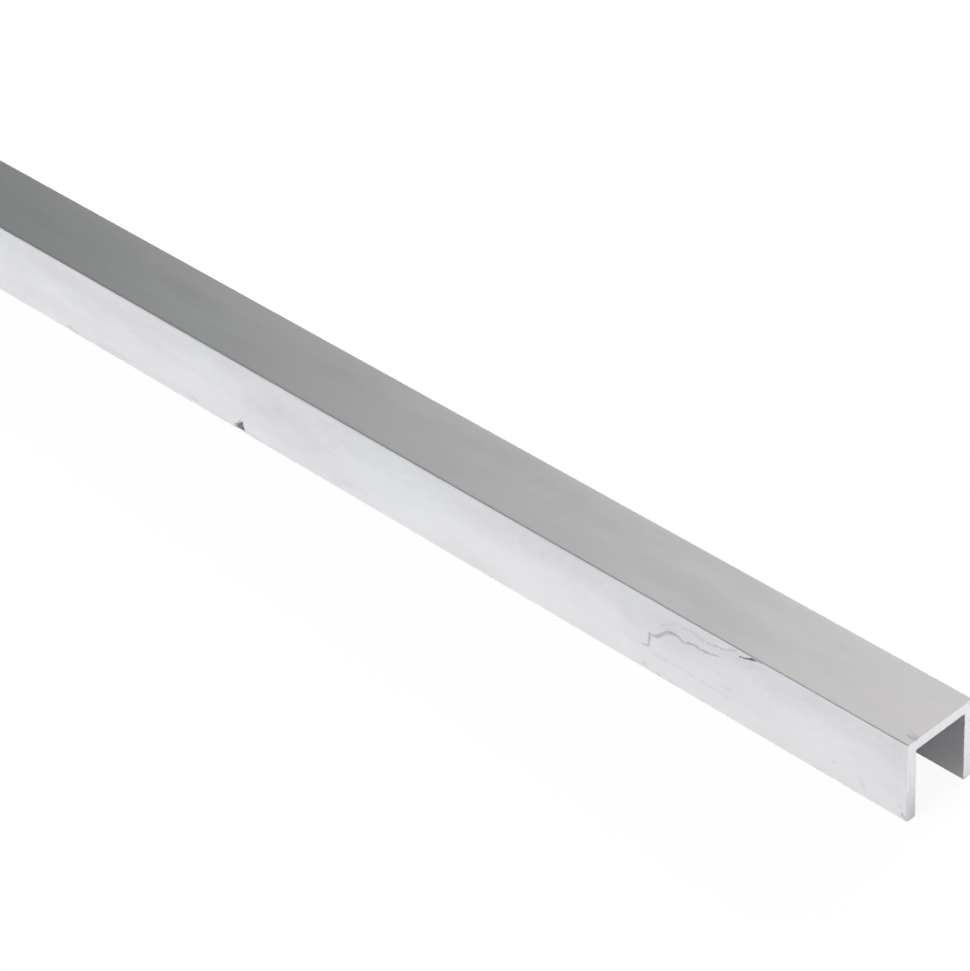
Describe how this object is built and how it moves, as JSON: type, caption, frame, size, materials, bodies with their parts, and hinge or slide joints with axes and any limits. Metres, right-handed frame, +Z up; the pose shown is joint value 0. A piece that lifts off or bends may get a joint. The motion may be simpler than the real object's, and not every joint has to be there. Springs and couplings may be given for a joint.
{
  "type": "metal channel section",
  "caption": "Straight length of equal-leg extruded aluminium channel, mill finish, with square saw-cut ends, for framing, edging and tracks.",
  "frame": {"origin": "middle of the footprint, level with the two flange tips that the bar stands on", "axes": "+X along the bar, +Y across the web, +Z up through the web, away from the flange tips"},
  "size_m": [0.9144, 0.0254, 0.0254],
  "materials": {
    "mill_aluminium": "mill finish, satin, as extruded"
  },
  "bodies": {
    "root": {"channel_section": "mill_aluminium"}
  },
  "joints": []
}
